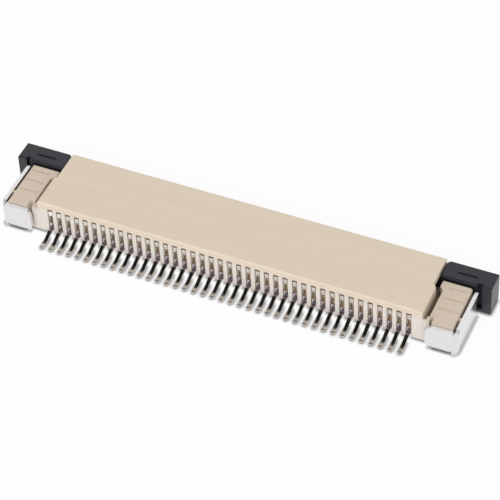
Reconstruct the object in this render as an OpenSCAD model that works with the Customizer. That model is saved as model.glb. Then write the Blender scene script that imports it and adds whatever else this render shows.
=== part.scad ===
// Right-angle board connector for a flat flexible cable, locked by a slider.
//
// Frame: X runs along the contact row, Y from the solder tails to the cable mouth, Z up from the board.
// Inside the modules Y is measured from the housing's rear face. seated() moves that datum, so that the
// origin is the middle of the whole outline, on the board. Sizes are in millimetres.

/* [Contact row] */
// Number of signal contacts
contact_count = 40; // [6:1:50]
// Distance from one contact to the next
pitch = 0.5; // [0.45:0.05:1.25]
// Thickness of the sheet that the contacts are stamped from
contact_t = 0.2; // [0.12:0.02:0.2]
// Clearance on each side of a contact in its slot
slot_gap = 0.04; // [0.02:0.01:0.06]

/* [Contact tails] */
// Reach of the tails behind the housing's rear face
tail_reach = 1.25; // [1:0.05:1.8]
// Length of the flat foot that is soldered to the board
foot_length = 0.5; // [0.4:0.05:0.8]
// Height of the metal along the tail and the foot
tail_height = 0.14; // [0.1:0.01:0.18]
// Height of the tail's middle line where it leaves the contact's base
tail_root_z = 0.3; // [0.24:0.02:0.4]
// Reach of the tail's level root behind the rear face, before it slopes down
tail_level = 0.18; // [0.1:0.02:0.3]

/* [Contact blades] */
// Gap between the rear face and the rear edges of the blade
blade_inset = 0.04; // [0.04:0.02:0.2]
// Height of the blade's base above the floor of its slot
base_height = 0.5; // [0.4:0.02:0.56]
// Distance from the rear face to the rear of the spine
spine_start = 0.3; // [0.26:0.02:0.5]
// Width of the spine that joins the base to the holding arm
spine_width = 0.34; // [0.24:0.02:0.4]
// Height of the holding arm, under the roof
arm_height = 0.3; // [0.2:0.02:0.32]
// Room between the holding arm and the top of the slot
arm_headroom = 0.15; // [0.1:0.01:0.18]
// Reach of the holding arm in front of the comb wall
arm_overhang = 0.3; // [0.2:0.05:0.4]
// Height of the contact beam at its root
beam_root_height = 0.24; // [0.16:0.02:0.28]
// Height of the contact beam near its tip
beam_tip_height = 0.13; // [0.1:0.01:0.16]
// Distance from the rear face to the middle of the contact point
point_y = 2.7; // [2.3:0.05:2.9]
// Radius of the contact point
point_radius = 0.12; // [0.09:0.01:0.14]
// How far the contact point stands above the cable floor
point_rise = 0.15; // [0.1:0.01:0.2]
// Length of the sloping nose ahead of the contact point
nose_length = 0.36; // [0.25:0.01:0.4]

/* [Housing] */
// Height of the housing's top above the board
body_height = 2; // [1.9:0.05:2.5]
// Depth of the housing from its rear face to its front edge
body_depth = 3.9; // [3.6:0.1:4.6]
// Gap between the board and the housing's underside
standoff = 0.05; // [0.02:0.01:0.1]
// Thickness of the roof above the slots and the cable mouth
roof_thickness = 0.35; // [0.25:0.05:0.4]
// Height of the cable floor above the board
floor_height = 0.62; // [0.56:0.02:0.7]
// Height of the floor inside each contact slot
slot_floor = 0.2; // [0.16:0.01:0.24]
// Depth of the comb wall that parts the contacts at the rear
comb_depth = 0.95; // [0.85:0.05:1.1]
// Depth of the open bottom of each slot, where the tail comes out
tail_window = 0.4; // [0.3:0.02:0.44]
// Length left solid in front of the beam grooves
floor_lip = 0.5; // [0.4:0.05:0.6]
// Thickness of the end walls beside the cable
end_wall = 0.18; // [0.16:0.02:0.3]
// Depth of the end walls from the rear face to where they slope in
end_wall_depth = 1.86; // [1.8:0.02:2.2]
// Clearance between the cable and each end wall
cable_side_gap = 0.03; // [0.02:0.01:0.08]
// Chamfer along the housing's top edges
edge_chamfer = 0.08; // [0.03:0.01:0.1]
// Chamfer that leads the cable over the floor's front edge
lead_in = 0.16; // [0.08:0.02:0.24]

/* [Ears] */
// Width of the narrow channel between the body and each ear
channel_width = 0.28; // [0.16:0.02:0.3]
// Width of the channel beside the body's narrower front
front_gap = 0.2; // [0.14:0.02:0.28]
// Width of each ear
ear_width = 1.32; // [1.3:0.02:2]
// Height of each ear above the board
ear_height = 1.65; // [1.6:0.05:1.8]
// Distance from the rear face to the front of the ears
ear_front = 2.7; // [2.6:0.05:2.7]
// Thickness of the wall that closes the channel at the rear
rear_wall = 0.12; // [0.1:0.02:0.2]
// Distance from the ear's inner edge to its heel, the part behind the nail's tab
heel_inset = 0.24; // [0.2:0.02:0.3]
// Distance from the rear face to where the ear widens from its heel
heel_depth = 0.3; // [0.24:0.02:0.4]
// Width of the upright groove between the heel and the rear wall
heel_groove = 0.18; // [0.1:0.02:0.2]
// Distance from the ear's top down to the top of the rear wall
rear_wall_drop = 0.15; // [0.1:0.01:0.2]
// Width of the narrow well left between the body and the ledge behind the rear wall
well_width = 0.14; // [0.1:0.02:0.18]
// Chamfer along the ear's top edges
ear_chamfer = 0.07; // [0.04:0.01:0.1]
// Thickness of the ear's wall between the channel and the arm's pocket
pocket_wall = 0.25; // [0.2:0.01:0.3]
// Height of the bottom of the arm's pocket
pocket_floor = 0.45; // [0.4:0.05:0.6]
// Height of the arm's pocket
pocket_height = 0.8; // [0.7:0.05:0.9]
// Distance from the rear face to the closed end of the pocket
pocket_end = 0.7; // [0.5:0.05:0.8]
// Number of shallow lines moulded across the ear's top
ear_lines = 3; // [1:1:4]
// Distance from one line to the next
ear_line_pitch = 0.72; // [0.4:0.04:0.76]
// Distance from the rear face to the first line
ear_line_start = 0.92; // [0.5:0.02:1]
// Distance from the ear's inner edge to the inner end of each line
ear_line_inset = 0.2; // [0.1:0.02:0.3]
// Width of a line
ear_line_width = 0.08; // [0.04:0.01:0.1]
// Depth of a line
ear_line_depth = 0.05; // [0.02:0.01:0.05]

/* [Fitting nails] */
// Thickness of the nail's sheet
nail_thickness = 0.2; // [0.15:0.01:0.25]
// Height of the nail above the board
nail_height = 1.55; // [1.4:0.05:1.6]
// How far the nail's rear tab stands behind the rear face
nail_proud = 0.36; // [0.3:0.01:0.4]
// Gap between the ear's side and the nail's side plate
nail_side_gap = 0.14; // [0.06:0.01:0.15]
// Outer radius of the nail's bends
nail_bend = 0.3; // [0.26:0.01:0.36]
// How far the rear tab reaches across the channel
tab_overlap = 0.03; // [0.02:0.01:0.12]
// Radius of the rear tab's free corners
tab_corner = 0.46; // [0.3:0.02:0.6]
// How far the front leg reaches inward from the side plate
leg_reach = 0.32; // [0.24:0.02:0.34]
// Height of the bottom edge of the front leg
leg_bottom = 0.55; // [0.4:0.05:0.6]
// Height of the front leg
leg_height = 0.55; // [0.3:0.05:0.65]
// Width of the solder foot at the bottom of the rear tab
nail_foot_width = 1; // [0.7:0.05:1.1]
// Length of the solder foot, from the rear tab's outer face to its end under the ear
nail_foot_length = 0.85; // [0.6:0.05:1]
// Outer radius of the bend between the rear tab and the solder foot
nail_foot_bend = 0.24; // [0.22:0.01:0.3]
// Width of the relief notch at the top of the rear bend
notch_width = 0.22; // [0.16:0.02:0.3]
// Depth of the relief notch
notch_depth = 0.06; // [0.04:0.02:0.2]
// Radius of the round ends of the notch
notch_end = 0.08; // [0.04:0.01:0.08]
// Width of the slits that free a bent foot or leg from the sheet beside it
relief_slit = 0.08; // [0.04:0.01:0.1]
// Radius of the side plate's lower front corner
plate_corner = 0.35; // [0.2:0.05:0.4]
// Distance from the rear face to the rib that the side plate bears on
nail_rib_y = 0.66; // [0.5:0.02:0.9]
// Width of that rib
nail_rib_width = 0.16; // [0.1:0.02:0.3]

/* [Slider] */
// Travel of the slider from home to open
slide_travel = 1.2; // [0.8:0.1:1.2]
// Clearance between the slider and what it slides past
slide_gap = 0.05; // [0.03:0.01:0.07]
// Gap between the ears' front and the slider's blocks at home
home_gap = 0.1; // [0.06:0.01:0.15]
// How far the slider stands in front of the housing at home
slider_proud = 0.05; // [0.05:0.05:0.3]
// Height of the top of the end blocks
block_top = 1.85; // [1.75:0.05:1.9]
// Height of the bottom of the end blocks
block_bottom = 0.08; // [0.04:0.02:0.2]
// How far each end block reaches beyond the nail's side plate
block_overhang = 0.6; // [0.4:0.05:1]
// Chamfer along the edges of the end blocks
block_chamfer = 0.06; // [0.03:0.01:0.1]
// Radius of the block's corner beside the housing's front edge
block_corner = 0.35; // [0.15:0.05:0.4]
// Width of the groove beside the nail in the block's rear face
relief_width = 0.28; // [0.28:0.02:0.4]
// Depth of that groove, and its height above the block's underside
relief_depth = 0.2; // [0.1:0.02:0.3]
// Length of the shallow line in the top of each block
block_line_length = 0.95; // [0.5:0.05:1.2]
// Width of that line
block_line_width = 0.1; // [0.04:0.01:0.1]
// Depth of that line
block_line_depth = 0.06; // [0.02:0.01:0.06]
// Distance from the block's front to that line
block_line_back = 0.65; // [0.3:0.05:0.7]
// Thickness of the flat cable that the connector takes
cable_thickness = 0.3; // [0.28:0.01:0.32]
// Free height left above a cable at the contact points
cable_headroom = 0.06; // [0.03:0.01:0.08]
// Gap between the contacts' holding arms and the tongue's tip at home
tongue_gap = 0.12; // [0.08:0.02:0.2]
// Length of the taper at the tongue's tip
tongue_taper = 0.6; // [0.4:0.05:0.8]
// Thickness of the tongue at its very tip
tongue_tip = 0.16; // [0.1:0.02:0.24]
// Depth of the guide arm's hook along the travel
hook_depth = 0.25; // [0.2:0.05:0.4]
// How far the hook stands out of the guide arm
hook_reach = 0.2; // [0.14:0.02:0.24]

/* [Hidden] */
$fn = 32;
// Overlap that carries a cut clear of the face that it opens
cut = 0.05;
// Facets in a full turn of the contacts' small arcs
contact_facets = 20;

// Contact row
row_half = (contact_count - 1) * pitch / 2;
slot_width = contact_t + 2 * slot_gap;
slot_top = body_height - roof_thickness;

// Body outline, measured from the middle of the row
cable_half = (contact_count + 1) * pitch / 2 + cable_side_gap;
body_half = cable_half + end_wall;

// Ear outline, on the +X side
ear_inner = body_half + channel_width;
ear_jog = cable_half + front_gap;
ear_outer = ear_inner + ear_width;
ear_heel = ear_inner + heel_inset;
ear_rear = nail_thickness - nail_proud;

// Nail outline, on the +X side
plate_inner = ear_outer + nail_side_gap;
plate_outer = plate_inner + nail_thickness;
tab_inner = ear_inner - tab_overlap;
tab_face = ear_rear - nail_thickness;
bend_x = plate_outer - nail_bend;
foot_outer = bend_x - relief_slit;
foot_inner = foot_outer - nail_foot_width;
foot_end = tab_face + nail_foot_length;
nail_front = ear_front - slide_gap;
leg_rear = nail_front - nail_thickness;
leg_bend_y = nail_front - nail_bend;
leg_inner = plate_inner - leg_reach;

// Slider
slider_front = body_depth + slider_proud;
block_inner = cable_half + slide_gap;
block_outer = plate_outer + block_overhang;
block_rear = ear_front + home_gap;
relief_outer = plate_outer + 2 * slide_gap;
tongue_bottom = floor_height + cable_thickness + cable_headroom;
tongue_top = slot_top - slide_gap;
tongue_end = comb_depth + arm_overhang + tongue_gap;

// Guide arm and its pocket
pocket_inner = ear_inner + pocket_wall;
pocket_outer = ear_outer - pocket_wall;
arm_tip = pocket_end + 2 * slide_gap;
hook_rear = arm_tip + slide_gap;
hook_front = hook_rear + hook_depth;
window_end = hook_front + slide_travel + slide_gap / 2;

// Place of the housing's rear face, with the origin in the middle of the whole outline
rear_face_y = (tail_reach - slider_front) / 2;

function two_digits(n) = n < 10 ? str("0", n) : str(n);
function contact_name(n) = str("contact_", two_digits(n));
function contact_x(n) = (n - 1) * pitch - row_half;

// Moves the rear face from Y = 0 to its place in the part's frame.
module seated() {
  translate([0, rear_face_y, 0]) children();
}

// Draws the children as they are and again mirrored to the -X side.
module both_ends() {
  children();
  mirror([1, 0, 0]) children();
}

// Turns a flat outline drawn as (Y, Z) into a solid that is centred on X.
module along_x(width) {
  rotate([90, 0, 90])
    translate([0, 0, -width / 2])
      linear_extrude(width) children();
}

// Turns a flat outline drawn as (X, Z) into a solid between two Y values.
module along_y(from, to) {
  translate([0, to, 0])
    rotate([90, 0, 0])
      linear_extrude(to - from) children();
}

// A flat rectangle between two corners.
module span(low, high) {
  translate(low) square([high.x - low.x, high.y - low.y]);
}

// A box between two corners.
module block(low, high) {
  translate(low) cube([high.x - low.x, high.y - low.y, high.z - low.z]);
}

// A flat rectangle with its two top corners cut off.
module chamfered_top(low, high, c) {
  polygon([
    low,
    [high.x, low.y],
    [high.x, high.y - c],
    [high.x - c, high.y],
    [low.x + c, high.y],
    [low.x, high.y - c]
  ]);
}

// A strip of even width between two points, with round ends.
module limb(from, to, width) {
  run = to - from;
  translate(from)
    rotate(atan2(run.y, run.x))
      translate([0, -width / 2])
        square([norm(run), width]);
  translate(from) circle(d = width);
  translate(to) circle(d = width);
}

// A quarter of a flat ring in the corner where X and Y are positive.
module quarter_ring(outer, width) {
  intersection() {
    difference() {
      circle(outer);
      circle(outer - width);
    }
    square(outer);
  }
}

// What is taken off to round a corner whose sides run along +X and +Y.
module corner_cut(r) {
  difference() {
    translate([-cut, -cut]) square(r + cut);
    translate([r, r]) circle(r);
  }
}

// ---- Contacts ----

// The solder tail: a flat foot on the board, a slope and a level root at the blade.
module tail_outline() {
  tip = [-tail_reach + tail_height / 2, tail_height / 2];
  heel = [-tail_reach + foot_length, tail_height / 2];
  knee = [-tail_level, tail_root_z];
  root = [blade_inset + tail_height / 2, tail_root_z];
  limb(tip, heel, tail_height);
  limb(heel, knee, tail_height);
  limb(knee, root, tail_height);
}

// The base, the spine and the holding arm with its barb, pressed into the slot.
module blade_outline() {
  base_top = slot_floor + base_height;
  arm_top = slot_top - arm_headroom;
  arm_bottom = arm_top - arm_height;
  spine_end = spine_start + spine_width;
  span([blade_inset, slot_floor], [comb_depth, base_top]);
  span([spine_start, base_top - cut], [spine_end, arm_bottom + cut]);
  span([blade_inset, arm_bottom], [comb_depth + arm_overhang, arm_top]);
  polygon([
    [spine_start, arm_top - cut],
    [spine_end, arm_top - cut],
    [spine_end, slot_top],
    [spine_end - arm_headroom / 2, slot_top],
    [spine_start, arm_top]
  ]);
}

// The sprung beam with the rounded contact point and the sloping nose.
module beam_outline() {
  root_bottom = slot_floor + beam_root_height / 2;
  point = [point_y, floor_height + point_rise - point_radius];
  nose = [point_y + nose_length, floor_height - beam_tip_height];
  polygon([
    [comb_depth - cut, root_bottom],
    [point.x, point.y - beam_tip_height / 2],
    [point.x, point.y + beam_tip_height / 2],
    [comb_depth - cut, root_bottom + beam_root_height]
  ]);
  translate(point) circle(point_radius);
  limb(point, nose, beam_tip_height);
}

module contact(n) {
  $fn = contact_facets;
  color("#b9b3a6")
    seated()
      translate([contact_x(n), 0, 0])
        along_x(contact_t) {
          tail_outline();
          blade_outline();
          beam_outline();
        }
}

// ---- Housing ----

// Room for one contact: open to the rear, open below for the tail, with a groove for the beam.
module slot_outline() {
  groove_end = body_depth - floor_lip;
  span([-cut, slot_floor], [comb_depth + cut, slot_top]);
  span([-cut, standoff - cut], [tail_window, slot_floor + cut]);
  span([comb_depth, slot_floor], [groove_end, floor_height + cut]);
}

// The space for the cable and the slider's tongue, with a sloping edge at the front of its floor.
module mouth_outline() {
  front = body_depth + cut;
  span([comb_depth, floor_height], [front, slot_top]);
  polygon([
    [body_depth - lead_in, floor_height + cut],
    [body_depth - lead_in, floor_height],
    [front, floor_height - lead_in - cut],
    [front, floor_height + cut]
  ]);
}

// Body seen from above: full width beside the end walls, which slope in to the narrower front.
module body_plan() {
  for (side = [-1, 1])
    polygon([
      [0, 0],
      [side * body_half, 0],
      [side * body_half, end_wall_depth],
      [side * cable_half, end_wall_depth + end_wall],
      [side * cable_half, body_depth],
      [0, body_depth]
    ]);
}

module body() {
  intersection() {
    linear_extrude(body_height) body_plan();
    along_x(3 * body_half)
      chamfered_top([0, standoff], [body_depth, body_height], edge_chamfer);
    along_y(0, body_depth)
      chamfered_top([-body_half, standoff], [body_half, body_height], edge_chamfer);
  }
}

// The mouth is closed at its ends by the end walls and open beside the slider's blocks.
module mouth() {
  along_x(2 * cable_half) mouth_outline();
  along_x(2 * body_half + 2 * cut)
    intersection() {
      mouth_outline();
      span([end_wall_depth + end_wall / 2, 0], [body_depth + cut, body_height]);
    }
}

// Ear seen from above: its heel behind the rear face, and the slope that follows the end wall's.
module ear_plan() {
  slope_start = end_wall_depth + 0.75 * channel_width;
  polygon([
    [ear_heel, ear_rear],
    [ear_outer, ear_rear],
    [ear_outer, ear_front],
    [ear_jog, ear_front],
    [ear_jog, slope_start + ear_inner - ear_jog],
    [ear_inner, slope_start],
    [ear_inner, heel_depth],
    [ear_heel, heel_depth]
  ]);
}

// The low wall that closes the channel at the rear, and the ledge behind it beside the ear's heel.
module channel_wall() {
  outer = ear_heel - heel_groove;
  top = ear_height - rear_wall_drop;
  block([body_half - cut, 0, standoff], [outer, rear_wall, top]);
  block([body_half + well_width, rear_wall - cut, standoff], [outer, heel_depth + cut, top]);
}

// The pocket of the guide arm, with the window that its hook runs in.
module arm_room() {
  top = pocket_floor + pocket_height;
  block([pocket_inner, pocket_end, pocket_floor], [pocket_outer, ear_front + cut, top]);
  block([ear_inner - cut, pocket_end, pocket_floor], [pocket_inner + cut, window_end, top]);
}

// The rebate in the ear's front outer corner that the nail's front leg grips.
module leg_rebate() {
  low = leg_bottom - slide_gap;
  high = leg_bottom + leg_height + slide_gap;
  block([leg_inner, leg_rear, low], [ear_outer + cut, ear_front + cut, high]);
}

// The rebate in the ear's underside that the nail's solder foot lies in, open at the ear's side.
module foot_rebate() {
  low = [foot_inner - slot_gap, ear_rear - cut, 0];
  block(low, [ear_outer + cut, foot_end + slot_gap, nail_thickness + slot_gap]);
}

// Shallow lines moulded across the ear's top.
module ear_marks() {
  first = ear_inner + ear_line_inset;
  for (i = [0:ear_lines - 1]) {
    y = ear_line_start + i * ear_line_pitch;
    translate([first, y - ear_line_width / 2, ear_height - ear_line_depth])
      cube([ear_width, ear_line_width, ear_line_depth + cut]);
  }
}

// The rib on the ear's side that the nail's side plate bears on.
module nail_rib() {
  block(
    [ear_outer - cut, nail_rib_y, standoff],
    [plate_inner, nail_rib_y + nail_rib_width, nail_height - ear_chamfer]
  );
}

module ear() {
  difference() {
    intersection() {
      linear_extrude(ear_height) ear_plan();
      along_y(ear_rear, ear_front)
        chamfered_top([ear_jog, standoff], [ear_outer, ear_height], ear_chamfer);
    }
    arm_room();
    leg_rebate();
    foot_rebate();
    ear_marks();
  }
  nail_rib();
}

// The floor that joins the ear to the body under the channel.
module web() {
  block([cable_half - cut, 0, standoff], [pocket_inner, ear_front, pocket_floor]);
}

module housing() {
  color("#d9c8ab")
    seated()
      difference() {
        union() {
          body();
          both_ends() {
            ear();
            channel_wall();
            web();
          }
        }
        mouth();
        for (n = [1:contact_count])
          translate([contact_x(n), 0, 0])
            along_x(slot_width) slot_outline();
      }
}

// ---- Fitting nails ----

// Rear tab seen from behind, with its rounded free end.
module tab_outline() {
  r = tab_corner;
  span([tab_inner + r, 0], [bend_x, nail_height]);
  span([tab_inner, r], [tab_inner + 2 * r, nail_height - r]);
  translate([tab_inner + r, r]) circle(r);
  translate([tab_inner + r, nail_height - r]) circle(r);
}

// The rear tab, cut out where the solder foot is bent from it.
module rear_tab() {
  difference() {
    along_y(tab_face, ear_rear) tab_outline();
    block(
      [foot_inner - relief_slit, tab_face - cut, -cut],
      [foot_outer + relief_slit, ear_rear + cut, nail_foot_bend]
    );
  }
}

// The solder foot, bent from the rear tab in under the ear, where it lies on the board.
module solder_foot() {
  r = nail_foot_bend;
  translate([(foot_inner + foot_outer) / 2, tab_face + r, r])
    along_x(nail_foot_width) {
      rotate(180) quarter_ring(r, nail_thickness);
      span([0, -r], [nail_foot_length - r, nail_thickness - r]);
    }
}

// The vertical bend between the rear tab and the side plate, with the relief notch in its top.
module rear_bend() {
  notch_x = bend_x + nail_bend / 2;
  notch_z = nail_height - notch_depth;
  difference() {
    translate([bend_x, tab_face + nail_bend, 0])
      linear_extrude(nail_height)
        mirror([0, 1]) quarter_ring(nail_bend, nail_thickness);
    along_y(tab_face - cut, tab_face + nail_bend + cut) {
      span([notch_x - notch_width / 2, notch_z], [notch_x + notch_width / 2, nail_height + cut]);
      for (side = [-1, 1])
        translate([notch_x + side * notch_width / 2, notch_z]) circle(notch_end);
    }
  }
}

// Side plate seen from the side, with a rounded lower front corner and a gap where the leg is bent out.
module plate_outline() {
  rear = tab_face + nail_bend;
  difference() {
    span([rear, 0], [nail_front, nail_height]);
    span([leg_bend_y, leg_bottom - relief_slit], [nail_front + cut, leg_bottom + leg_height + relief_slit]);
    translate([nail_front, 0]) mirror([1, 0]) corner_cut(plate_corner);
  }
}

// The leg that is bent round the ear's front corner.
module front_leg() {
  translate([0, 0, leg_bottom])
    linear_extrude(leg_height) {
      translate([bend_x, leg_bend_y]) quarter_ring(nail_bend, nail_thickness);
      span([leg_inner, leg_rear], [bend_x, nail_front]);
    }
}

// The fitting nail of the +X end.
module nail() {
  rear_tab();
  solder_foot();
  rear_bend();
  translate([(plate_inner + plate_outer) / 2, 0, 0])
    along_x(nail_thickness) plate_outline();
  front_leg();
}

module nail_right() {
  color("#d3d6da") seated() nail();
}

module nail_left() {
  color("#d3d6da") seated() mirror([1, 0, 0]) nail();
}

// ---- Slider ----

// End block seen from above, with rounded corners beside the housing.
module block_plan() {
  difference() {
    span([block_inner, block_rear], [block_outer, slider_front]);
    translate([block_inner, slider_front])
      mirror([0, 1]) corner_cut(block_corner);
    translate([block_inner, block_rear]) corner_cut(block_chamfer);
  }
}

// Upright groove in the block's rear face beside the nail, closed at its bottom.
module nail_relief() {
  low = [relief_outer - relief_width, block_rear - cut, block_bottom + relief_depth];
  block(low, [relief_outer, block_rear + relief_depth, block_top + cut]);
}

// Shallow line in the block's top.
module block_line() {
  x = (ear_inner + plate_outer) / 2;
  y = slider_front - block_line_back;
  translate([x, y, block_top - block_line_depth])
    linear_extrude(block_line_depth + cut)
      limb([-block_line_length / 2, 0], [block_line_length / 2, 0], block_line_width);
}

module end_block() {
  difference() {
    intersection() {
      linear_extrude(block_top) block_plan();
      along_y(block_rear, slider_front)
        chamfered_top([block_inner, block_bottom], [block_outer, block_top], block_chamfer);
      along_x(3 * block_outer)
        chamfered_top([block_rear, block_bottom], [slider_front, block_top], block_chamfer);
    }
    nail_relief();
    block_line();
  }
}

// The guide arm that runs in the ear's pocket, with the sloping hook that stops the slider when it is open.
module guide_arm() {
  inner = pocket_inner + slide_gap;
  outer = pocket_outer - slide_gap;
  translate([0, 0, pocket_floor + slide_gap])
    linear_extrude(pocket_height - 2 * slide_gap) {
      span([inner, arm_tip], [outer, block_rear + cut]);
      polygon([
        [inner + cut, hook_rear],
        [inner, hook_rear],
        [inner - hook_reach, hook_front - hook_depth / 3],
        [inner - hook_reach, hook_front],
        [inner + cut, hook_front]
      ]);
    }
}

// The bar between the blocks and the thin tongue that presses on the cable.
module bar_outline() {
  polygon([
    [tongue_end, tongue_top - tongue_tip],
    [tongue_end + tongue_taper, tongue_bottom],
    [slider_front - lead_in, tongue_bottom],
    [slider_front, tongue_bottom + lead_in],
    [slider_front, tongue_top],
    [tongue_end, tongue_top]
  ]);
}

module tongue() {
  along_x(2 * (cable_half - slide_gap)) bar_outline();
  along_x(2 * (block_inner + cut))
    intersection() {
      bar_outline();
      span([block_rear, 0], [slider_front, body_height]);
    }
}

module slider() {
  color("#2b2b30")
    seated() {
      tongue();
      both_ends() {
        end_block();
        guide_arm();
      }
    }
}

for (n = [1:contact_count])
  contact(n);
housing();
slider();
nail_left();
nail_right();
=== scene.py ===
"""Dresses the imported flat-cable connector: finishes, softened edges, studio light and camera.

Lengths are in metres unless a name says otherwise, and every piece lies in the frame's own axes:
X along the contact row, Y from the solder tails to the cable mouth, Z up from the board.
"""

import logging
import math
from abc import ABC, abstractmethod
from dataclasses import dataclass
from enum import Enum
from typing import Any, Mapping, Sequence

import bmesh
import bpy
from mathutils import Matrix, Vector


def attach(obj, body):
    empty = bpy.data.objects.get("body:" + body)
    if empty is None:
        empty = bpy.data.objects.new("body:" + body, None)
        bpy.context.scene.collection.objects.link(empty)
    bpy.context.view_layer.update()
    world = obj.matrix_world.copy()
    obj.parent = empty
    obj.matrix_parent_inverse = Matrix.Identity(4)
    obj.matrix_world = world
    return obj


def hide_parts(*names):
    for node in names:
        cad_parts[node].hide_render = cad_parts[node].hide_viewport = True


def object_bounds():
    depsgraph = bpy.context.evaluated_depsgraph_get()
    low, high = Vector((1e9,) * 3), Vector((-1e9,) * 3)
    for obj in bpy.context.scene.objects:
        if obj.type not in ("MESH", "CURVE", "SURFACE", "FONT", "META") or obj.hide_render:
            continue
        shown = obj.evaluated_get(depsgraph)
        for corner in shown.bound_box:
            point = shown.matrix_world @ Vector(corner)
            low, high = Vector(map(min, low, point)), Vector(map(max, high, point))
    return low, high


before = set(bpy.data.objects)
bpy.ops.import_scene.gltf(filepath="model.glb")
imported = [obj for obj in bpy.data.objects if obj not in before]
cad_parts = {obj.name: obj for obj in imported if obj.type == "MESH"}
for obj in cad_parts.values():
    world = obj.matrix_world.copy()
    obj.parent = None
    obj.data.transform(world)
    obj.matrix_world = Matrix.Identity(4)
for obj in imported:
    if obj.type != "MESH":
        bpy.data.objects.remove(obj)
CAD_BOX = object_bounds()

MM = 0.001
LOG = logging.getLogger("connector")

WHITE = (1.0, 1.0, 1.0, 1.0)
# Vertices of a CAD mesh that lie closer than this are one.
WELD_DISTANCE = 1e-7
# Faces that meet at less than this are one flat face.
FLAT_ANGLE = math.radians(0.5)
# A bevel with this profile is a circle's arc.
ROUND_PROFILE = 0.5
# A Mix node's sockets go by number, because its data types give theirs the same names.
MIX_SHARE = 0
MIX_NUMBERS = (2, 3)
MIX_COLOURS = (6, 7)
MIXED_NUMBER = 0
MIXED_COLOUR = 2


class Body(Enum):
    """The rigid bodies that the pieces ride on."""

    BASE = "base"
    LOCK = "lock"


class Slot(Enum):
    """The record's material slots."""

    HOUSING = "housing_resin"
    SLIDER = "slider_resin"
    CONTACT = "tinned_contact"
    SHEET = "tinned_sheet"


class End(Enum):
    """The two ends of the connector."""

    LEFT = "left"
    RIGHT = "right"


def linear(hex_colour: str) -> tuple[float, float, float, float]:
    """Turns an sRGB hex colour into linear RGBA, by that standard's own curve.

    Args:
        hex_colour: six hex digits after a hash, such as "#d9cab6".

    Returns:
        The linear red, green and blue from 0 to 1, and an alpha of 1.
    """
    channels = [int(hex_colour[i : i + 2], 16) / 255 for i in (1, 3, 5)]
    low = [c / 12.92 if c <= 0.04045 else ((c + 0.055) / 1.055) ** 2.4 for c in channels]
    return (low[0], low[1], low[2], 1.0)


def per_mm(size_mm: float) -> float:
    """Returns the texture scale at which one feature is size_mm across."""
    return 1 / (size_mm * MM)


def add_node(
    tree: bpy.types.NodeTree,
    kind: str,
    settings: Mapping[str, Any] | None = None,
    inputs: Mapping[str | int, Any] | None = None,
) -> bpy.types.Node:
    """Adds a node, sets its fields, and links or fills its inputs.

    Args:
        tree: the node tree that gets the node.
        kind: the node's type, such as "ShaderNodeTexNoise".
        settings: values for the node's own fields.
        inputs: a socket to link or a value to set for each named or numbered input.

    Returns:
        The new node.
    """
    node = tree.nodes.new(kind)
    for name, value in (settings or {}).items():
        setattr(node, name, value)
    for name, value in (inputs or {}).items():
        if isinstance(value, bpy.types.NodeSocket):
            tree.links.new(value, node.inputs[name])
        else:
            node.inputs[name].default_value = value
    return node


def overlaid(
    tree: bpy.types.NodeTree, ground: Any, layers: Sequence[tuple[bpy.types.NodeSocket, Any]]
) -> bpy.types.NodeSocket:
    """Lays colours over a ground colour. Each colour is a value or a socket.

    Args:
        tree: the node tree that gets the layers.
        ground: the colour below them all.
        layers: each layer's cover, from 0 to 1, and its colour, from the bottom up.

    Returns:
        The socket of the colour that shows.
    """
    below = ground
    for cover, colour in layers:
        mix = add_node(
            tree,
            "ShaderNodeMix",
            {"data_type": "RGBA"},
            {MIX_SHARE: cover, MIX_COLOURS[0]: below, MIX_COLOURS[1]: colour},
        )
        below = mix.outputs[MIXED_COLOUR]
    return below


def beyond(
    tree: bpy.types.NodeTree,
    along: bpy.types.NodeSocket,
    start_mm: float,
    blend_mm: float = 0.02,
) -> bpy.types.NodeSocket:
    """Adds a short ramp along one object coordinate.

    Args:
        tree: the node tree that gets the ramp.
        along: the coordinate.
        start_mm: where the middle of the ramp lies.
        blend_mm: half the ramp's length.

    Returns:
        A socket that is 0 before the ramp and 1 beyond it.
    """
    ramp = add_node(
        tree,
        "ShaderNodeMapRange",
        inputs={
            "Value": along,
            "From Min": (start_mm - blend_mm) * MM,
            "From Max": (start_mm + blend_mm) * MM,
        },
    )
    return ramp.outputs["Result"]


def blank_material(title: str) -> bpy.types.Material:
    """Makes a material with an empty node tree.

    Args:
        title: the material's name.

    Returns:
        The new material.
    """
    made = bpy.data.materials.new(title)
    made.use_nodes = True
    made.node_tree.nodes.clear()
    return made


# ---- Finishes ----


@dataclass(frozen=True)
class Finish(ABC):
    """A surface finish that becomes one node material."""

    title: str

    @abstractmethod
    def shade(self, tree: bpy.types.NodeTree) -> bpy.types.NodeSocket:
        """Adds the finish's nodes to the tree and returns its shader socket."""

    def material(self) -> bpy.types.Material:
        """Makes the material.

        Returns:
            The finished material.
        """
        made = blank_material(self.title)
        surface = self.shade(made.node_tree)
        add_node(made.node_tree, "ShaderNodeOutputMaterial", inputs={"Surface": surface})
        return made


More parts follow.
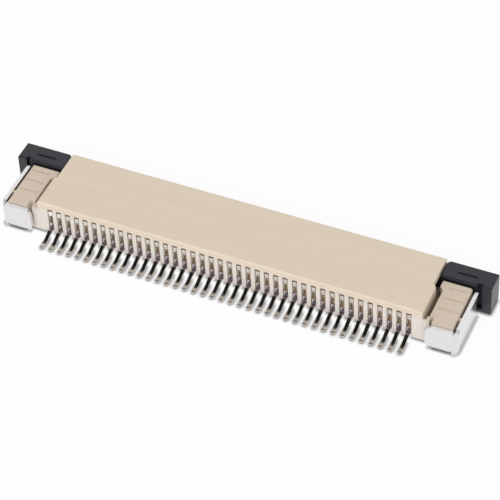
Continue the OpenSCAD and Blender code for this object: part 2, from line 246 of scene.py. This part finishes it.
@dataclass(frozen=True)
class MouldedResin(Finish):
    """Liquid-crystal polymer, injection moulded in a spark-eroded tool.

    The melt leaves faint streaks along the flow, and the tool leaves a fine matt grain. The real
    grain is about 0.02 mm across, and is drawn three times as coarse so that it shows.
    """

    pale: str
    deep: str
    roughness: float
    roughness_spread: float
    ior: float
    streak_length_mm: float = 5.0
    streak_width_mm: float = 0.45
    streak_detail: float = 3.0
    streak_roughness: float = 0.55
    grain_mm: float = 0.06
    grain_detail: float = 2.0
    grain_depth_mm: float = 0.004
    grain_strength: float = 0.25

    def tint(self, tree: bpy.types.NodeTree, place: bpy.types.NodeSocket) -> bpy.types.NodeSocket:
        """Adds the colour with its flow streaks.

        Args:
            tree: the material's node tree.
            place: the object coordinates.

        Returns:
            The colour socket.
        """
        sizes_mm = (self.streak_length_mm, self.streak_width_mm, self.streak_width_mm)
        along_flow = add_node(
            tree,
            "ShaderNodeMapping",
            inputs={"Vector": place, "Scale": tuple(per_mm(size) for size in sizes_mm)},
        )
        streaks = add_node(
            tree,
            "ShaderNodeTexNoise",
            inputs={
                "Vector": along_flow.outputs[0],
                "Scale": 1.0,
                "Detail": self.streak_detail,
                "Roughness": self.streak_roughness,
            },
        )
        return overlaid(tree, linear(self.deep), [(streaks.outputs["Fac"], linear(self.pale))])

    def shade(self, tree: bpy.types.NodeTree) -> bpy.types.NodeSocket:
        """Adds eroded grain and a dull sheen to the colour.

        Args:
            tree: the material's node tree.

        Returns:
            The shader socket.
        """
        place = add_node(tree, "ShaderNodeTexCoord").outputs["Object"]
        grain = add_node(
            tree,
            "ShaderNodeTexNoise",
            inputs={
                "Vector": place,
                "Scale": per_mm(self.grain_mm),
                "Detail": self.grain_detail,
            },
        )
        gloss = add_node(
            tree,
            "ShaderNodeMapRange",
            inputs={
                "Value": grain.outputs["Fac"],
                "To Min": self.roughness - self.roughness_spread,
                "To Max": self.roughness + self.roughness_spread,
            },
        )
        relief = add_node(
            tree,
            "ShaderNodeBump",
            inputs={
                "Height": grain.outputs["Fac"],
                "Strength": self.grain_strength,
                "Distance": self.grain_depth_mm * MM,
            },
        )
        shader = add_node(
            tree,
            "ShaderNodeBsdfPrincipled",
            inputs={
                "Base Color": self.tint(tree, place),
                "Roughness": gloss.outputs["Result"],
                "IOR": self.ior,
                "Normal": relief.outputs["Normal"],
            },
        )
        return shader.outputs["BSDF"]


@dataclass(frozen=True)
class HousingResin(MouldedResin):
    """The same resin on a long housing with a comb and two ears.

    The ear tops are drawn in a darker tone than the body's top. The comb's rear face is drawn
    paler and greyer than the body, painted light that stands for the front light and sheen falling
    on it.
    """

    # The ear tops are drawn in a darker tone than the body's top.
    ear_tone: str = "#cbbaa8"
    # Painted light: the comb's rear face is drawn paler and greyer than the body, in place of the
    # front light and sheen on it.
    comb_painted_sheen_tone: str = "#dcd3c8"
    ear_start_mm: float = 10.47
    comb_front_mm: float = -0.9
    comb_top_mm: float = 1.52
    tone_blend_mm: float = 0.2

    def tint(self, tree: bpy.types.NodeTree, place: bpy.types.NodeSocket) -> bpy.types.NodeSocket:
        """Adds the streaked colour of the body and the tones of the comb and the ears.

        Args:
            tree: the material's node tree.
            place: the object coordinates.

        Returns:
            The colour socket.
        """
        axes = add_node(tree, "ShaderNodeSeparateXYZ", inputs={0: place})
        above = beyond(tree, axes.outputs["Z"], self.comb_top_mm, self.tone_blend_mm)
        off_comb = add_node(
            tree,
            "ShaderNodeMath",
            {"operation": "MAXIMUM"},
            {
                0: beyond(tree, axes.outputs["Y"], self.comb_front_mm, self.tone_blend_mm),
                1: above,
            },
        )
        from_middle = add_node(
            tree, "ShaderNodeMath", {"operation": "ABSOLUTE"}, {0: axes.outputs["X"]}
        )
        on_ear = add_node(
            tree,
            "ShaderNodeMath",
            {"operation": "MULTIPLY"},
            {0: beyond(tree, from_middle.outputs[0], self.ear_start_mm), 1: above},
        )
        # The comb keeps the paler painted-light tone underneath; the body's streaks and the darker
        # ear tone lie over it.
        layers = [
            (off_comb.outputs[0], super().tint(tree, place)),
            (on_ear.outputs[0], linear(self.ear_tone)),
        ]
        return overlaid(tree, linear(self.comb_painted_sheen_tone), layers)


@dataclass(frozen=True)
class TinnedSheet(Finish):
    """Rolled phosphor bronze with a satin tin plate.

    The rolling leaves faint lines along the strip, and the tin has soft cloudy patches of
    brighter and duller crystals. The real lines are about 0.01 mm apart and the crystals a few
    thousandths of a millimetre across. Both are drawn as coarse as they need to be to show.
    """

    bright: str
    dull: str
    roughness: float
    roughness_spread: float
    line_size_mm: tuple[float, float, float]
    cloud_mm: float = 0.35
    cloud_detail: float = 4.0
    cloud_roughness: float = 0.6
    line_detail: float = 2.0
    line_depth_mm: float = 0.0015
    line_strength: float = 0.2

    def plate(
        self, tree: bpy.types.NodeTree, place: bpy.types.NodeSocket, clouds: bpy.types.NodeSocket
    ) -> bpy.types.NodeSocket:
        """Adds the colour of the plating.

        Args:
            tree: the material's node tree.
            place: the object coordinates.
            clouds: the tin's cloud pattern, from 0 to 1.

        Returns:
            The colour socket.
        """
        return overlaid(tree, linear(self.dull), [(clouds, linear(self.bright))])

    def gloss(
        self, tree: bpy.types.NodeTree, place: bpy.types.NodeSocket, clouds: bpy.types.NodeSocket
    ) -> bpy.types.NodeSocket:
        """Adds the sheen, which follows the clouds.

        Args:
            tree: the material's node tree.
            place: the object coordinates.
            clouds: the tin's cloud pattern, from 0 to 1.

        Returns:
            The roughness socket.
        """
        sheen = add_node(
            tree,
            "ShaderNodeMapRange",
            inputs={
                "Value": clouds,
                "To Min": self.roughness + self.roughness_spread,
                "To Max": self.roughness - self.roughness_spread,
            },
        )
        return sheen.outputs["Result"]

    def shade(self, tree: bpy.types.NodeTree) -> bpy.types.NodeSocket:
        """Adds rolling lines and tin clouds to a metal.

        Args:
            tree: the material's node tree.

        Returns:
            The shader socket.
        """
        place = add_node(tree, "ShaderNodeTexCoord").outputs["Object"]
        clouds = add_node(
            tree,
            "ShaderNodeTexNoise",
            inputs={
                "Vector": place,
                "Scale": per_mm(self.cloud_mm),
                "Detail": self.cloud_detail,
                "Roughness": self.cloud_roughness,
            },
        )
        along_strip = add_node(
            tree,
            "ShaderNodeMapping",
            inputs={"Vector": place, "Scale": tuple(per_mm(size) for size in self.line_size_mm)},
        )
        lines = add_node(
            tree,
            "ShaderNodeTexNoise",
            inputs={
                "Vector": along_strip.outputs[0],
                "Scale": 1.0,
                "Detail": self.line_detail,
            },
        )
        relief = add_node(
            tree,
            "ShaderNodeBump",
            inputs={
                "Height": lines.outputs["Fac"],
                "Strength": self.line_strength,
                "Distance": self.line_depth_mm * MM,
            },
        )
        shader = add_node(
            tree,
            "ShaderNodeBsdfPrincipled",
            inputs={
                "Base Color": self.plate(tree, place, clouds.outputs["Fac"]),
                "Metallic": 1.0,
                "Roughness": self.gloss(tree, place, clouds.outputs["Fac"]),
                "Normal": relief.outputs["Normal"],
            },
        )
        return shader.outputs["BSDF"]


@dataclass(frozen=True)
class PlatedContact(TinnedSheet):
    """Phosphor bronze with tin, with painted light and shade on the part inside the housing.

    From just inside the housing the sprung part is painted a warm tan, painted shade that stands
    for the shaded ivory between the bright arm ends. A band at the foot of the spine is painted a
    duller grey, painted shade for the shaded floor that it reflects. The rear end of the arm above
    it is painted near white, a painted highlight.
    """

    # Painted shade: a warm tan in place of the shaded ivory seen between the arm ends.
    painted_tan: str = "#e6d5bd"
    # Painted shade: a duller grey band in place of the shaded floor that the spine reflects.
    painted_shade_band: str = "#c8bcc0"
    # Painted highlight: the arm's rear end is drawn near white.
    arm_end_painted_highlight: str = "#fbf6f0"
    painted_tan_start_mm: float = -1.22
    painted_shade_band_start_mm: float = -1.45
    painted_shade_band_top_mm: float = 0.9
    painted_tan_roughness: float = 0.5

    def plate(
        self, tree: bpy.types.NodeTree, place: bpy.types.NodeSocket, clouds: bpy.types.NodeSocket
    ) -> bpy.types.NodeSocket:
        """Adds the tin, the painted highlight on the arm end, the band of painted shade and the
        painted tan.

        Args:
            tree: the material's node tree.
            place: the object coordinates.
            clouds: the tin's cloud pattern, from 0 to 1.

        Returns:
            The colour socket.
        """
        axes = add_node(tree, "ShaderNodeSeparateXYZ", inputs={0: place})
        # The band of painted shade lies between the tail and the arm end.
        past_tail = beyond(tree, axes.outputs["Y"], self.painted_shade_band_start_mm)
        on_arm = beyond(tree, axes.outputs["Z"], self.painted_shade_band_top_mm)
        on_band = add_node(
            tree,
            "ShaderNodeMath",
            {"operation": "SUBTRACT", "use_clamp": True},
            {0: past_tail, 1: on_arm},
        )
        # A painted highlight on the arm end, a band of painted shade, then the painted tan over
        # the part inside the housing.
        layers = [
            (on_arm, linear(self.arm_end_painted_highlight)),
            (on_band.outputs[0], linear(self.painted_shade_band)),
            (beyond(tree, axes.outputs["Y"], self.painted_tan_start_mm), linear(self.painted_tan)),
        ]
        return overlaid(tree, super().plate(tree, place, clouds), layers)

    def gloss(
        self, tree: bpy.types.NodeTree, place: bpy.types.NodeSocket, clouds: bpy.types.NodeSocket
    ) -> bpy.types.NodeSocket:
        """Adds the sheen of the tin and the duller one of the painted tan.

        Args:
            tree: the material's node tree.
            place: the object coordinates.
            clouds: the tin's cloud pattern, from 0 to 1.

        Returns:
            The roughness socket.
        """
        axes = add_node(tree, "ShaderNodeSeparateXYZ", inputs={0: place})
        past_band = beyond(tree, axes.outputs["Y"], self.painted_tan_start_mm)
        both = add_node(
            tree,
            "ShaderNodeMix",
            {"data_type": "FLOAT"},
            {
                MIX_SHARE: past_band,
                MIX_NUMBERS[0]: super().gloss(tree, place, clouds),
                MIX_NUMBERS[1]: self.painted_tan_roughness,
            },
        )
        return both.outputs[MIXED_NUMBER]


IVORY_RESIN = HousingResin(
    title="ivory_lcp_moulded",
    pale="#ddcdb8",
    deep="#d3c3ad",
    roughness=0.5,
    roughness_spread=0.05,
    ior=1.55,
)
BLACK_RESIN = MouldedResin(
    title="black_lcp_moulded",
    pale="#1e1e26",
    deep="#16161e",
    roughness=0.34,
    roughness_spread=0.06,
    ior=1.5,
)
NAIL_TIN = TinnedSheet(
    title="satin_tin_on_nail",
    bright="#edebec",
    dull="#e0dedf",
    roughness=0.24,
    roughness_spread=0.05,
    line_size_mm=(2.5, 2.5, 0.04),
)
CONTACT_TIN = PlatedContact(
    title="satin_tin_on_contact",
    bright="#d4cec8",
    dull="#c2bbb4",
    roughness=0.2,
    roughness_spread=0.04,
    line_size_mm=(0.03, 1.2, 1.2),
    cloud_mm=0.2,
)


# ---- Shared modelling ----


@dataclass(frozen=True)
class Rounding:
    """The small radius that a moulding or a plated stamping has on every edge."""

    radius: float
    segments: int = 2
    least_angle: float = math.radians(28)


def softened(node: str, rounding: Rounding) -> bmesh.types.BMesh:
    """Copies a CAD node as a closed mesh and rounds its edges.

    Args:
        node: the CAD node to copy.
        rounding: the radius and the least angle of the edges that get it.

    Returns:
        The rounded mesh, with flat faces joined.
    """
    mesh = bmesh.new()
    mesh.from_mesh(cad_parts[node].data)
    bmesh.ops.remove_doubles(mesh, verts=mesh.verts[:], dist=WELD_DISTANCE)
    bmesh.ops.dissolve_limit(
        mesh, angle_limit=FLAT_ANGLE, verts=mesh.verts[:], edges=mesh.edges[:]
    )
    sharp = [e for e in mesh.edges if e.calc_face_angle(0.0) > rounding.least_angle]
    bmesh.ops.bevel(
        mesh,
        geom=sharp,
        offset=rounding.radius,
        offset_type="OFFSET",
        affect="EDGES",
        segments=rounding.segments,
        profile=ROUND_PROFILE,
        clamp_overlap=False,
        material=-1,
    )
    return mesh


def shade_by_area(data: bpy.types.Mesh) -> None:
    """Gives each vertex the normal of its largest faces, so that flats stay flat.

    Each face counts by its area squared, so the thin strips of a rounding hardly turn a flat's
    normals.

    Args:
        data: the mesh that gets the normals.
    """
    sums = [Vector() for _ in data.vertices]
    for face in data.polygons:
        share = face.normal * (face.area / MM**2) ** 2
        for corner in face.vertices:
            sums[corner] += share
    data.shade_smooth()
    data.normals_split_custom_set_from_vertices([s.normalized() for s in sums])


def mesh_object(
    mesh: bmesh.types.BMesh, name: str, finish: bpy.types.Material
) -> bpy.types.Object:
    """Turns a mesh into an object of the scene with one material.

    Args:
        mesh: the mesh, already in place. It is freed.
        name: the object's name.
        finish: its material.

    Returns:
        The new object.
    """
    data = bpy.data.meshes.new(name)
    mesh.to_mesh(data)
    mesh.free()
    data.materials.append(finish)
    made = bpy.data.objects.new(name, data)
    bpy.context.scene.collection.objects.link(made)
    return made


def place_piece(
    mesh: bmesh.types.BMesh,
    name: str,
    finish: bpy.types.Material,
    body: Body,
    stands_for: Sequence[str],
) -> None:
    """Turns a mesh into a finished piece that rides on a body.

    Args:
        mesh: the piece's mesh, already in place. It is freed.
        name: the piece's name.
        finish: its material.
        body: the body that carries it.
        stands_for: the CAD nodes that it replaces.
    """
    piece = mesh_object(mesh, name, finish)
    shade_by_area(piece.data)
    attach(piece, body.value)
    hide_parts(*stands_for)
    LOG.info("%s: %d faces, on %s", name, len(piece.data.polygons), body.value)


# ---- Sub-assemblies ----


@dataclass
class Housing:
    """The ivory body with its comb, cable mouth and ears."""

    rounding: Rounding = Rounding(radius=0.014 * MM)

    def build(self) -> None:
        """Places the dressed housing."""
        place_piece(
            softened("housing", self.rounding),
            "housing_moulding",
            IVORY_RESIN.material(),
            Body.BASE,
            ["housing"],
        )


@dataclass
class Slider:
    """The black slider with its end blocks, tongue and guide arms."""

    rounding: Rounding = Rounding(radius=0.02 * MM)

    def build(self) -> None:
        """Places the dressed slider."""
        place_piece(
            softened("slider", self.rounding),
            "slider_moulding",
            BLACK_RESIN.material(),
            Body.LOCK,
            ["slider"],
        )


@dataclass
class FittingNail:
    """The bent sheet-metal nail that holds one end of the connector to the board."""

    end: End
    finish: bpy.types.Material
    rounding: Rounding = Rounding(radius=0.015 * MM)

    def build(self) -> None:
        """Places the dressed nail."""
        node = f"nail_{self.end.value}"
        place_piece(
            softened(node, self.rounding),
            f"{node}_sheet",
            self.finish,
            Body.BASE,
            [node],
        )


@dataclass
class ContactRow:
    """The row of stamped contacts."""

    finish: bpy.types.Material
    rounding: Rounding = Rounding(radius=0.01 * MM, segments=1)

    def build(self) -> None:
        """Places the dressed contacts in order."""
        for node in sorted(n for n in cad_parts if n.startswith("contact_")):
            place_piece(
                softened(node, self.rounding),
                f"{node}_stamping",
                self.finish,
                Body.BASE,
                [node],
            )


# ---- Studio ----


@dataclass(frozen=True)
class SoftBox:
    """A square soft box that faces the part. Metal shows the white surround in its place."""

    name: str
    at: tuple[float, float, float]
    side: float
    watts: float
    colour: str = "#ffffff"

    def build(self) -> None:
        """Hangs the soft box."""
        lamp = bpy.data.lights.new(self.name, "AREA")
        lamp.shape = "SQUARE"
        lamp.size = self.side
        lamp.energy = self.watts
        lamp.color = linear(self.colour)[:3]
        box = bpy.data.objects.new(self.name, lamp)
        place = Vector(self.at)
        box.rotation_mode = "QUATERNION"
        box.location = place
        box.visible_glossy = False
        box.rotation_quaternion = (-place).to_track_quat("-Z", "Y")
        bpy.context.scene.collection.objects.link(box)


SOFT_BOXES = (
    SoftBox("front_softbox", at=(0.0, -0.78, 0.32), side=0.7, watts=3.2, colour="#f0f4ff"),
    SoftBox("right_softbox", at=(0.50, -0.55, 0.42), side=0.6, watts=1.8),
    SoftBox("left_softbox", at=(-0.70, 0.15, 0.35), side=0.6, watts=1.2),
    SoftBox("overhead_softbox", at=(0.05, 0.05, 0.80), side=0.7, watts=1.6),
)


@dataclass
class Studio:
    """A white sweep under soft boxes, and the camera that looks down on the solder tails."""

    floor_half: float = 1.5
    paper: str = "#f6f6f6"
    glow_share: float = 0.9
    glow_strength: float = 1.0
    contact_shadow: float = 0.18 * MM
    shadow_samples: int = 8
    shadow_gamma: float = 2.0
    touch_distance: float = 0.1 * MM
    world_light: float = 0.5
    world_seen: float = 1.0
    flag_at: tuple[float, float, float] = (-0.10, -0.07, 0.25)
    flag_radius: float = 0.19
    flag_sides: int = 48
    flag_cloth: str = "#101010"

    def build(self) -> None:
        """Makes the floor, the world, the lamps, the flag and the camera."""
        self.make_floor()
        self.make_world()
        for box in SOFT_BOXES:
            box.build()
        self.make_flag()
        Camera().build()

    def shown_directly(self, tree: bpy.types.NodeTree) -> bpy.types.NodeSocket:
        """Marks the rays that show the surroundings.

        Args:
            tree: the node tree that gets the mark.

        Returns:
            A socket that is 1 for camera, glossy and transmission rays, and otherwise 0.
        """
        path = add_node(tree, "ShaderNodeLightPath")
        seen = add_node(
            tree,
            "ShaderNodeMath",
            {"operation": "MAXIMUM"},
            {0: path.outputs["Is Camera Ray"], 1: path.outputs["Is Glossy Ray"]},
        )
        both = add_node(
            tree,
            "ShaderNodeMath",
            {"operation": "MAXIMUM"},
            {0: seen.outputs[0], 1: path.outputs["Is Transmission Ray"]},
        )
        return both.outputs[0]

    def seen_through(self, tree: bpy.types.NodeTree) -> bpy.types.NodeSocket:
        """Marks the rays that pass through the floor.

        Args:
            tree: the node tree that gets the mark.

        Returns:
            A socket that is 1 from below, and for rays that start at the part's own underside.
        """
        side = add_node(tree, "ShaderNodeNewGeometry")
        path = add_node(tree, "ShaderNodeLightPath")
        touching = add_node(
            tree,
            "ShaderNodeMath",
            {"operation": "LESS_THAN"},
            {0: path.outputs["Ray Length"], 1: self.touch_distance},
        )
        either = add_node(
            tree,
            "ShaderNodeMath",
            {"operation": "MAXIMUM"},
            {0: side.outputs["Backfacing"], 1: touching.outputs[0]},
        )
        return either.outputs[0]

    def make_floor(self) -> None:
        """Lays the white paper floor, with soft contact shadows and a clear view from below."""
        mesh = bmesh.new()
        bmesh.ops.create_grid(mesh, x_segments=1, y_segments=1, size=self.floor_half)
        paper = blank_material("white_paper")
        tree = paper.node_tree
        matt = add_node(tree, "ShaderNodeBsdfDiffuse", inputs={"Color": linear(self.paper)})
        open_sky = add_node(
            tree,
            "ShaderNodeAmbientOcclusion",
            {"samples": self.shadow_samples},
            {"Distance": self.contact_shadow},
        )
        deepened = add_node(
            tree,
            "ShaderNodeGamma",
            inputs={"Color": open_sky.outputs["Color"], "Gamma": self.shadow_gamma},
        )
        glow = add_node(
            tree,
            "ShaderNodeEmission",
            inputs={"Color": deepened.outputs["Color"], "Strength": self.glow_strength},
        )
        lit = add_node(
            tree,
            "ShaderNodeMixShader",
            inputs={0: self.glow_share, 1: matt.outputs[0], 2: glow.outputs[0]},
        )
        top = add_node(
            tree,
            "ShaderNodeMixShader",
            inputs={0: self.shown_directly(tree), 1: matt.outputs[0], 2: lit.outputs[0]},
        )
        clear = add_node(tree, "ShaderNodeBsdfTransparent")
        whole = add_node(
            tree,
            "ShaderNodeMixShader",
            inputs={0: self.seen_through(tree), 1: top.outputs[0], 2: clear.outputs[0]},
        )
        add_node(tree, "ShaderNodeOutputMaterial", inputs={"Surface": whole.outputs[0]})
        floor = mesh_object(mesh, "paper_floor", paper)

    def make_flag(self) -> None:
        """Hangs a black disc overhead, seen only as the dark slopes of the polished metal."""
        mesh = bmesh.new()
        bmesh.ops.create_circle(
            mesh, cap_ends=True, segments=self.flag_sides, radius=self.flag_radius
        )
        bmesh.ops.translate(mesh, verts=mesh.verts[:], vec=Vector(self.flag_at))
        cloth = blank_material("black_cloth")
        tree = cloth.node_tree
        matt = add_node(tree, "ShaderNodeBsdfDiffuse", inputs={"Color": linear(self.flag_cloth)})
        add_node(tree, "ShaderNodeOutputMaterial", inputs={"Surface": matt.outputs[0]})
        flag = mesh_object(mesh, "overhead_flag", cloth)
        flag.visible_camera = False
        flag.visible_diffuse = False
        flag.visible_shadow = False

    def make_world(self) -> None:
        """Sets a white surround that is seen at full strength and lights at a softer one."""
        world = bpy.data.worlds.new("light_tent")
        bpy.context.scene.world = world
        world.use_nodes = True
        tree = world.node_tree
        tree.nodes.clear()
        light, seen = (
            add_node(tree, "ShaderNodeBackground", inputs={"Color": WHITE, "Strength": strength})
            for strength in (self.world_light, self.world_seen)
        )
        both = add_node(
            tree,
            "ShaderNodeMixShader",
            inputs={0: self.shown_directly(tree), 1: light.outputs[0], 2: seen.outputs[0]},
        )
        add_node(tree, "ShaderNodeOutputWorld", inputs={"Surface": both.outputs[0]})


@dataclass
class Camera:
    """A long lens that looks down on the rear of the connector from the right."""

    azimuth: float = math.radians(25.755)
    elevation: float = math.radians(45.421)
    roll: float = math.radians(-2.996)
    distance: float = 118.765 * MM
    aside: float = 0.701 * MM
    upward: float = 0.087 * MM
    lens_mm: float = 170.68
    clip_start: float = 10 * MM
    clip_end: float = 10.0

    def build(self) -> None:
        """Makes the camera and sets it as the scene's own."""
        level = math.cos(self.elevation)
        back = Vector(
            (
                math.sin(self.azimuth) * level,
                -math.cos(self.azimuth) * level,
                math.sin(self.elevation),
            )
        )
        flat = Vector((math.cos(self.azimuth), math.sin(self.azimuth), 0))
        turn = Matrix.Rotation(self.roll, 3, back)
        right = turn @ flat
        up = turn @ back.cross(flat)
        centre = (CAD_BOX[0] + CAD_BOX[1]) / 2
        data = bpy.data.cameras.new("camera")
        data.lens = self.lens_mm
        data.clip_start = self.clip_start
        data.clip_end = self.clip_end
        camera = bpy.data.objects.new("camera", data)
        axes = Matrix((right, up, back)).transposed().to_4x4()
        at = centre + self.aside * right + self.upward * up + self.distance * back
        camera.matrix_world = Matrix.Translation(at) @ axes
        bpy.context.scene.collection.objects.link(camera)
        bpy.context.scene.camera = camera


def main() -> None:
    """Builds the pieces in order, then the studio."""
    logging.basicConfig(level=logging.INFO, format="%(message)s")
    bpy.context.scene.view_settings.view_transform = "Standard"
    Housing().build()
    Slider().build()
    tin = NAIL_TIN.material()
    for end in End:
        FittingNail(end, tin).build()
    ContactRow(CONTACT_TIN.material()).build()
    Studio().build()


if __name__ == "__main__":
    main()
